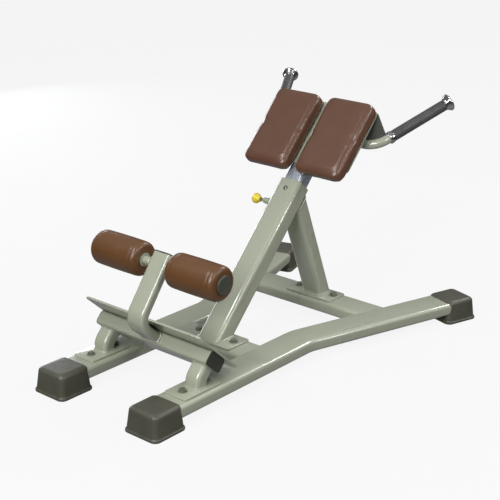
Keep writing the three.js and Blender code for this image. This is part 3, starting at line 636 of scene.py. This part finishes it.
def build_sleeve():
    """A box over the post's head: open below, closed above."""
    section = box_section(SLEEVE["width"], SLEEVE["depth"], SLEEVE["corner"])
    hollow = box_section(POST["width"] + 0.6, POST["depth"] + 0.6, POST["corner"])
    rings = []
    for inset, z in ((0.2, SLEEVE["start"] + 40), (0, SLEEVE["start"])):
        rings.append([Vector((x, y, z)) for x, y in hollow(inset)])
    for inset, z in ((0.8, SLEEVE["start"]), (0, SLEEVE["start"] + 0.8), (0, SLEEVE["end"] - 3),
                     (0.9, SLEEVE["end"] - 0.9), (3, SLEEVE["end"])):
        rings.append([Vector((x, y, z)) for x, y in section(inset)])
    make("carriage_box_sleeve", loft(rings), "frame_paint", "carriage", LEANING, replaces=["carriage_sleeve"])


def build_handles():
    for word, side in SIDES:
        corners = [Vector((side * (SLEEVE["width"] / 2 - 1), HANDLE_ROOT.y, HANDLE_ROOT.z)),
                   Vector((side * HANDLE_CORNER.x, HANDLE_CORNER.y, HANDLE_CORNER.z)),
                   handle_point(10, side)]
        stations = arc_path(corners, HANDLE_BEND, 18)
        before = (corners[1] - corners[0]).normalized()
        after = (corners[2] - corners[1]).normalized()
        flat = before.cross(after).normalized()
        bar = sweep(lambda inset=0: ring(HANDLE_RADIUS - inset), stations, flat, 0.6)
        make(f"handle_bar_{word}", bar, "frame_paint", "carriage", LEANING, replaces=[f"handle_tube_{word}"])
        joint = Vector((side * (SLEEVE["width"] / 2 + 1), HANDLE_ROOT.y, HANDLE_ROOT.z))
        weld(f"handle_weld_{word}", place_ring(ring(HANDLE_RADIUS + 0.6), joint, X * side, Y), "carriage",
             LEANING, 2.2)
        way = Vector((side * HANDLE_WAY.x, HANDLE_WAY.y, HANDLE_WAY.z))
        turn = Z.rotation_difference(way).to_matrix().to_4x4()

        def along(distance):
            return LEANING @ Matrix.Translation(handle_point(distance, side)) @ turn

        collar = rounded_profile([(14, 0), (18.5, 0, 1.2), (18.5, 6, 1), (17, 14, 1), (14, 14), (14, 0)], 0.4)
        make(f"chrome_collar_{word}", lathe(collar), "collar_chrome", "carriage", along(COLLAR_START),
             replaces=[f"grip_collar_{word}"])
        make(f"hand_grip_{word}", knurled_grip(), "grip_rubber", "carriage", along(GRIP["start"]),
             replaces=[f"grip_{word}"], sharp=60)
        flare = rounded_profile([(0, 0), (16.5, 0, 0.6), (17.5, 5, 3), (26, 16.5, 1.5), (26, 20, 1.5),
                                 (21, 23, 1.5), (13, 23, 1.5), (10, 21.2, 1.5), (0, 21)], 0.8)
        make(f"chrome_grip_end_{word}", lathe(flare, 64), "collar_chrome", "carriage", along(GRIP_END_START),
             replaces=[f"grip_end_cap_{word}"])
        gusset(word, side)


def knurled_grip():
    """A rubber sleeve with a fine diamond knurl and two plain end bands."""
    length, radius, around, rings_along = GRIP["length"], GRIP["radius"], 96, 183
    twist = 0.62  # how fast the knurl's two families of grooves turn, in radians for each millimetre
    rings = []
    for i in range(rings_along + 1):
        z = length * i / rings_along
        edge = min(z, length - z)
        knurl = min(1, max(0, (edge - 7) / 3))
        shoulder = 0.9 * max(0, 1 - edge / 1.5) ** 2
        outline = []
        for j in range(around):
            a = 2 * math.pi * j / around
            wave = math.cos(a * 16 + z * twist) * math.cos(a * 16 - z * twist)
            r = radius - 0.25 - shoulder + 0.28 * knurl * wave
            outline.append(Vector((r * math.cos(a), r * math.sin(a), z)))
        rings.append(outline)
    bore = [[Vector((x, y, z)) for x, y in ring(14.2, around)] for z in (length, 0)]
    return loft(rings + bore, closed=True)


def gusset(word, side):
    """A flat web from the outer upper corner of the back plate to the bend of the handle tube."""
    at_plate = -26.6  # just inside the back plate's rear face
    (top_x, top_z), (foot_x, foot_z) = GUSSET["top"], GUSSET["foot"]
    corners = [Vector((top_x, at_plate, top_z)), Vector((foot_x, at_plate, foot_z)),
               Vector((GUSSET["tube"], HANDLE_ROOT.y, HANDLE_ROOT.z)), handle_point(GUSSET["collar"])]
    corners = [Vector((side * p.x, p.y, p.z)) for p in corners]
    along = (corners[0] - corners[3]).normalized()
    normal = along.cross(corners[2] - corners[3]).normalized()
    rings = []
    middle = sum(corners, Vector()) / 4
    for inset, offset in ((0.8, -2.5), (0, -1.8), (0, 1.8), (0.8, 2.5)):
        rings.append([p + (middle - p).normalized() * inset + normal * offset for p in corners])
    # the web takes web_paint, whose near-black colour is painted shade, darker than the frame paint the web
    # would really wear
    make(f"handle_web_{word}", loft(rings), "web_paint", "carriage", LEANING,
         replaces=[f"handle_gusset_{word}"])


def build_pads():
    plate_middle = (BACK_PLATE["start"] + BACK_PLATE["end"]) / 2
    plate_length = BACK_PLATE["end"] - BACK_PLATE["start"]
    at_plate = LEANING @ Matrix.Translation((0, -BACK_PLATE["back"], plate_middle)) @ OUT_FRONT
    plate = slab(BACK_PLATE["width"], plate_length, BACK_PLATE["corner"], BACK_PLATE["thickness"])
    make("pad_carrier_plate", plate, "frame_paint", "carriage", at_plate, replaces=["pad_back_plate"])
    board_back = BACK_PLATE["back"] + BACK_PLATE["thickness"] + 0.1
    middle = (PAD["width"] + PAD["gap"]) / 2
    length = PAD["end"] - PAD["start"]
    centre = (PAD["end"] + PAD["start"]) / 2
    pad = stuffed_pad(length)
    for word, side in SIDES:
        at_board = LEANING @ Matrix.Translation((side * middle, -board_back, centre)) @ OUT_FRONT
        board = slab(PAD["width"] - 2 * BOARD["inset"], length - 2 * BOARD["inset"], BOARD["corner"],
                     BOARD["thickness"])
        make(f"pad_ply_board_{word}", board, "backing_board", "carriage", at_board,
             replaces=[f"pad_board_{word}"])
        at_pad = LEANING @ Matrix.Translation((side * middle, -board_back - 0.2, centre))
        place_pad(f"hip_cushion_{word}", pad, side, at_pad, f"hip_pad_{word}")


def stuffed_pad(length):
    """The cushion in its own frame: X across, Z along, and Y from the board (0) to minus the thickness."""
    start = soft_box(PAD["width"] - 5, length - 5, PAD["thickness"] - 4, PAD["corner"] - 2, 12)
    return swell("pad_form", start, voxel=5, pressure=4, cap=5)


def soft_box(width, length, thickness, corner, edge):
    """A rounded box with a flat back at Y = 0 and a rounded front edge."""
    levels = [(2.5, 0), (0.6, -0.8), (0, -3), (0, -thickness / 3), (0, -thickness / 2)]
    for i in range(9):
        turn = math.radians(90 * i / 8)
        levels.append((edge * (1 - math.cos(turn)), -(thickness - edge) - edge * math.sin(turn)))
    outline = box_section(width, length, corner)
    rings = [[Vector((x, y, z)) for x, z in outline(inset)] for inset, y in levels]
    return loft(rings)


def swell(name, shape, voxel, pressure, cap):
    """Voxel remesh, then a short cloth run with pressure, in which no point moves further than the cap."""
    verts, faces = shape
    mesh = bpy.data.meshes.new(name)
    mesh.from_pydata([Vector(v) * MM for v in verts], [], faces)
    form = bpy.data.objects.new(name, mesh)
    bpy.context.scene.collection.objects.link(form)
    apply(form, "REMESH", mode="VOXEL", voxel_size=voxel * MM)
    apply(form, "SMOOTH", factor=0.5, iterations=4)
    rest = [v.co.copy() for v in form.data.vertices]
    cloth = form.modifiers.new("cloth", "CLOTH")
    settings = cloth.settings
    settings.use_pressure = True
    settings.uniform_pressure_force = pressure
    settings.effector_weights.gravity = 0
    settings.tension_stiffness = 18
    settings.compression_stiffness = 18
    settings.bending_stiffness = 6
    settings.quality = 6
    scene = bpy.context.scene
    scene.frame_start, scene.frame_end = 1, SWELL_FRAMES
    cloth.point_cache.frame_start, cloth.point_cache.frame_end = 1, SWELL_FRAMES
    for step in range(1, SWELL_FRAMES + 1):
        scene.frame_set(step)
    depth = bpy.context.evaluated_depsgraph_get()
    moved = [v.co.copy() for v in form.evaluated_get(depth).data.vertices]
    form.modifiers.clear()
    scene.frame_set(1)
    for vertex, old, new in zip(form.data.vertices, rest, moved):
        shift = new - old
        shift = Vector((shift.x * SIDE_GIVE, shift.y, shift.z * SIDE_GIVE))
        if shift.length > cap * MM:
            shift = shift.normalized() * cap * MM
        vertex.co = old + shift
    apply(form, "SUBSURF", levels=1, render_levels=1)
    result = [v.co / MM for v in form.data.vertices], [tuple(p.vertices) for p in form.data.polygons]
    bpy.data.objects.remove(form)
    return result


def apply(piece, kind, **settings):
    modifier = piece.modifiers.new(kind.lower(), kind)
    for key, value in settings.items():
        setattr(modifier, key, value)
    with bpy.context.temp_override(object=piece, active_object=piece, selected_objects=[piece]):
        bpy.ops.object.modifier_apply(modifier=modifier.name)


def fit_box(verts, low, high):
    """Stretches points so that they fill a box exactly."""
    lows = [min(v[i] for v in verts) for i in range(3)]
    highs = [max(v[i] for v in verts) for i in range(3)]
    return [Vector([low[i] + (v[i] - lows[i]) / (highs[i] - lows[i]) * (high[i] - low[i]) for i in range(3)])
            for v in verts]


def place_pad(name, form, side, matrix, node):
    """Fits the swollen form to the cushion's size, keeps its back flat and adds the seam and the puckers."""
    verts, faces = form
    half_width, half_length = PAD["width"] / 2, (PAD["end"] - PAD["start"]) / 2
    thickness = PAD["thickness"]
    verts = fit_box(verts, (-half_width, -thickness, -half_length), (half_width, 0, half_length))
    done = []
    for v in verts:
        x, y, z = v
        wrap = max(abs(x) / half_width, abs(z) / half_length)
        rim = min(1, max(0, (wrap - 0.86) / 0.1))
        x *= 1 + PAD["taper"] / half_width * y / thickness
        seam = math.exp(-((y - SEAM["y"]) / SEAM["width"]) ** 2) * rim
        shrink = 1 - SEAM["depth"] * seam
        pucker = noise.noise(Vector((x * 0.05 + side * 9, y * 0.09, z * 0.05))) * 0.5
        fine = noise.noise(Vector((x * 0.16, y * 0.12 + side * 5, z * 0.16))) * 0.22
        lift = (pucker + fine) * (0.35 + 0.65 * rim)
        back = min(1, max(0, -y / 3))
        done.append(Vector((x * shrink * (1 + lift * 0.004), min(y - lift * 0.5 * back, 0), z * shrink)))
    piece = make(name, (done, faces), "pad_vinyl", "carriage", matrix, replaces=[node], sharp=70)


# ---- foot end -------------------------------------------------------------
def build_footrest():
    depth, width = CROSSBAR["depth"], CROSSBAR["width"]
    section = box_section(depth, width, CROSSBAR["corner"])
    reach = CROSSBAR["length"] / 2
    ends = [(Vector((-reach, 0, 0)), X), (Vector((reach, 0, 0)), X)]
    make("crossbar_box_tube", sweep(section, ends, Z), "frame_paint", "frame", FOOTREST,
         replaces=["foot_crossbar"])
    for word, side in SIDES:
        at = [(Vector((side * x, 0, 0)), X * side) for x in (reach - 0.5, reach + 1.8)]
        make(f"crossbar_end_plug_{word}", sweep(section, at, Z, 1.0), "dark_plastic", "frame", FOOTREST,
             replaces=[f"crossbar_plug_{word}"])
    tread = plate_from(tread_outline(), TREAD["thickness"], depth / 2 + 0.1)
    make("footplate_sheet", tread, "frame_paint", "frame", FOOTREST, replaces=["footplate"])
    for word, side in SIDES:
        build_bracket(word, side)
    build_roller_post()


def tread_outline():
    """A rounded rectangle with a notch for the roller post in its upper edge."""
    middle = (TREAD["top"] + TREAD["bottom"]) / 2
    points = rounded_rectangle(TREAD["width"], TREAD["bottom"] - TREAD["top"], TREAD["corner"], 6)
    half, cut, bottom = NOTCH["width"] / 2, NOTCH["corner"], NOTCH["bottom"]
    right = [(half - cut, bottom), (half, bottom - cut), (half, TREAD["top"])]
    left = [(-x, y) for x, y in reversed(right)]
    # The upper edge runs from the outline's last corner to its first, so the notch comes at the end.
    return [Vector((x, y + middle, 0)) for x, y in points] + [Vector((x, y, 0)) for x, y in left + right]


def plate_from(outline, thickness, level, edge=0.7):
    """A plate of any outline, its edges softened by a thin chamfer."""
    count = len(outline)
    rings = []
    normals = []
    for i, p in enumerate(outline):
        way = outline[(i + 1) % count] - outline[i - 1]
        normals.append(Vector((way.y, -way.x, 0)).normalized())
    for inset, z in ((edge, 0), (0, edge), (0, thickness - edge), (edge, thickness)):
        rings.append([Vector((p.x, p.y, level + z)) - n * inset for p, n in zip(outline, normals)])
    return loft(rings)


def build_bracket(word, side):
    to_rest = WORLD.inverted() @ FOOTREST
    reach = CROSSBAR["depth"] / 2 - 1
    top = to_rest @ Vector((0, 0, -reach))
    way = (to_rest.to_3x3() @ Z).normalized()
    y = BRACKET["y"]
    bend = Vector((side * RAIL["x"], y, top.z - (top.y - y) / way.y * way.z))
    corners = [Vector((side * RAIL["x"], y, PLATE_TOP - 0.6)), bend, Vector((side * RAIL["x"], top.y, top.z))]
    section = box_section(BRACKET["width"], BRACKET["depth"], BRACKET["corner"])
    tube = sweep(section, arc_path(corners, BRACKET["bend"]), X, 0.3)
    make(f"foot_bracket_tube_{word}", tube, "frame_paint", "frame", replaces=[f"foot_bracket_{word}"])
    base = corners[0] + Z * 1.2
    weld(f"bracket_weld_foot_{word}", place_ring(section(-0.6), base, Z, X), "frame", radius=2.4)
    head = corners[2] - way * 1.8
    weld(f"bracket_weld_head_{word}", place_ring(section(-0.4), head, way, X), "frame", radius=2.2)


def axle_in_rest():
    """The roller axle's centre in the footplate's frame."""
    to_rest = (WORLD.inverted() @ FOOTREST).inverted()
    return to_rest @ Vector((0, AXLE["y"], AXLE["z"]))


def build_roller_post():
    axle = axle_in_rest()
    start = Vector((0, -CROSSBAR["width"] / 2 + 1, 0))
    turn = Vector((0, ROLLER_POST["turn"], 0))
    up = (axle - turn).normalized()
    top = axle + up * ROLLER_POST["above"]
    section = box_section(ROLLER_POST["width"], ROLLER_POST["depth"], ROLLER_POST["corner"])
    path = arc_path([start, turn, top], ROLLER_POST["bend"], 18)
    make("roller_post_tube", sweep(section, path, X, 0.6), "frame_paint", "frame", FOOTREST,
         replaces=["roller_post"])
    foot = Vector((0, -CROSSBAR["width"] / 2 - 1.4, 0))
    weld("roller_post_weld", place_ring(section(-0.5), foot, Y, X), "frame", FOOTREST, 2.4)
    cap = [(top + up * 0.1, up), (top + up * 3.4, up)]
    make("roller_post_lid", sweep(section, cap, X, 1.5), "dark_plastic", "frame", FOOTREST,
         replaces=["roller_post_cap"])
    for word, side in SIDES:
        wall = axle + X * side * (ROLLER_POST["width"] / 2 + 0.6)
        weld(f"axle_weld_{word}", place_ring(ring(AXLE["radius"] + 0.7), wall, X, Y), "frame", FOOTREST, 2.0)


def roller_profile():
    """The foam roller: a crowned barrel with sewn seams at its shoulders and ends rounded towards the hub."""
    length, radius, bore = ROLLER["length"], ROLLER["radius"], ROLLER["core"] + 0.2
    edge = 15
    half = [(bore, 0.6), (bore + 1.5, 0), (radius - edge, 0)]
    for i in range(1, 9):
        turn = math.radians(90 * i / 8)
        half.append((radius - 0.9 - edge + edge * math.sin(turn), edge * (1 - math.cos(turn))))
    half += [(radius - 0.75, edge + 2), (radius - 1.5, edge + 3.2), (radius - 0.6, edge + 4.6)]
    for i in range(1, 9):
        z = edge + 4.6 + (length / 2 - edge - 4.6) * i / 8
        half.append((radius - 0.6 + 0.6 * math.sin(math.radians(90 * i / 8)), z))
    other = [(r, length - z) for r, z in reversed(half[:-1])]
    return half + other


def build_rollers():
    centre = WORLD @ Matrix.Translation((0, AXLE["y"], AXLE["z"]))
    reach = AXLE["end"] - 0.2
    ends = [(Vector((-reach, 0, 0)), X), (Vector((reach, 0, 0)), X)]
    axle = sweep(lambda inset=0: ring(AXLE["radius"] - inset), ends, Z, 0.8)
    make("roller_axle_tube", axle, "frame_paint", "frame", centre, replaces=["roller_axle"])
    for word, side in SIDES:
        facing = OUT_RIGHT if side > 0 else OUT_LEFT
        outward = centre @ Matrix.Translation((side * ROLLER["inner"], 0, 0)) @ facing
        bore, outer, length = AXLE["radius"] + 0.5, ROLLER["core"], ROLLER["length"]
        core = rounded_profile([(bore, 0), (outer, 0, 0.6), (outer, length, 0.6), (bore, length), (bore, 0)],
                               0.4)
        make(f"roller_hub_{word}", lathe(core), "frame_paint", f"roller_{word}", outward,
             replaces=[f"roller_core_{word}"])
        profile = roller_profile()
        profile = profile + [profile[0]]
        roller = make(f"ankle_roller_{word}", lathe(profile, 96), "roller_vinyl", f"roller_{word}", outward,
                      replaces=[f"foot_roller_{word}"], sharp=70)
        disc = rounded_profile([(0, 0), (26, 0, 0.5), (26, 4.6, 1.6), (22.5, 6, 1.6), (20.5, 5.2, 1.6),
                                (0, 4.6)], 1)
        at = centre @ Matrix.Translation((side * AXLE["end"], 0, 0)) @ facing
        make(f"roller_end_disc_{word}", lathe(disc), "cap_plastic", "frame", at,
             replaces=[f"roller_end_cap_{word}"])


build_base()
build_plates()
build_upright()
build_pin()
build_post()
build_sleeve()
build_handles()
build_pads()
build_footrest()
build_rollers()

slots = {row["node"]: row["material_slot"] for row in frame["record"]["subparts"]}
for name, node in frame["nodes"].items():
    node.data.materials.clear()
    node.data.materials.append(MATERIALS[slots[name]])


# ---- floor, light and camera ----------------------------------------------
def stage_floor():
    """A pale floor that glows a little, as a lit studio table does, so that shadows on it stay faint."""
    size = 20.0
    mesh = bpy.data.meshes.new("floor")
    corners = [(-size, -size, 0), (size, -size, 0), (size, size, 0), (-size, size, 0)]
    mesh.from_pydata(corners, [], [(0, 1, 2, 3)])
    floor = bpy.data.objects.new("floor", mesh)
    bpy.context.scene.collection.objects.link(floor)
    n = Nodes("floor")
    tone = n.ramp(n.noise(1.5, 2), [(0.3, (0.040, 0.040, 0.040)), (0.7, (0.043, 0.043, 0.043))])
    rough = n.span(n.noise(3, 2), 0.85, 0.95)
    n.finish(tone, rough, None, Emission_Color=(1, 1, 1, 1), Emission_Strength=FLOOR_GLOW,
             Specular_IOR_Level=0.1)
    mesh.materials.append(n.material)
    floor.visible_glossy = False  # polished edges mirror the dark studio, not the pale table
    floor.visible_diffuse = False


def area_light(name, place, target, size, power, colour=(1, 1, 1)):
    data = bpy.data.lights.new(name, "AREA")
    data.shape = "RECTANGLE"
    data.size, data.size_y = size
    data.energy = power
    data.color = colour
    light = bpy.data.objects.new(name, data)
    light.location = place
    light.rotation_euler = (Vector(target) - Vector(place)).to_track_quat("-Z", "Y").to_euler()
    bpy.context.scene.collection.objects.link(light)


def build_lights():
    """A sky that is bright overhead and dark at the horizon, and soft boxes on every side."""
    world = bpy.data.worlds.new("studio")
    bpy.context.scene.world = world
    world.use_nodes = True
    tree = world.node_tree
    place = tree.nodes.new("ShaderNodeTexCoord")
    split = tree.nodes.new("ShaderNodeSeparateXYZ")
    ramp = tree.nodes.new("ShaderNodeValToRGB")
    tree.links.new(place.outputs["Generated"], split.inputs[0])
    height = tree.nodes.new("ShaderNodeMapRange")
    height.inputs["From Min"].default_value = -1
    tree.links.new(split.outputs["Z"], height.inputs["Value"])
    tree.links.new(height.outputs["Result"], ramp.inputs["Fac"])
    tree.links.new(ramp.outputs["Color"], tree.nodes["Background"].inputs["Color"])
    stops = [(0.0, 0.34), (0.25, 0.20), (0.36, 0.05), (0.55, 0.05), (0.7, 0.16), (0.85, 0.32), (1.0, 0.42)]
    while len(ramp.color_ramp.elements) < len(stops):
        ramp.color_ramp.elements.new(0.5)
    for element, (position, grey) in zip(ramp.color_ramp.elements, stops):
        element.position = position
        element.color = (grey, grey, grey * 1.04, 1)
    target = (0, 0, 0.3)
    area_light("front", (0.9, -3.7, 2.4), target, (1.8, 1.8), 128)
    area_light("front_top", (-0.5, -2.0, 3.3), target, (1.4, 0.3), 34)
    area_light("back", (0.9, 3.3, 3.0), target, (1.3, 0.8), 58)
    area_light("right_rear", (3.4, 1.3, 2.3), target, (0.8, 0.8), 35)
    area_light("right_front", (3.0, -1.1, 2.5), target, (0.4, 1.4), 30)
    area_light("left", (-3.4, 1.1, 0.75), target, (2.0, 1.2), 40, (0.92, 0.96, 1))


def build_camera():
    """The photograph's viewing angle: from the foot end, to the right and above."""
    place, lens = (2.0899, -2.5123, 1.4619), 86.71
    yaw, pitch, roll = math.radians(39.84), math.radians(-19.76), math.radians(0.8)
    way = Vector((-math.sin(yaw) * math.cos(pitch), math.cos(yaw) * math.cos(pitch), math.sin(pitch)))
    right = Vector((math.cos(yaw), math.sin(yaw), 0))
    up = right.cross(way)
    right, up = right * math.cos(roll) + up * math.sin(roll), up * math.cos(roll) - right * math.sin(roll)
    data = bpy.data.cameras.new("camera")
    data.sensor_width = 36
    data.lens = lens
    camera = bpy.data.objects.new("camera", data)
    turn = Matrix((right, up, -way)).transposed().to_4x4()
    camera.matrix_world = Matrix.Translation(place) @ turn
    bpy.context.scene.collection.objects.link(camera)
    bpy.context.scene.camera = camera


bpy.context.scene.view_settings.view_transform = "Standard"
stage_floor()
build_lights()
build_camera()
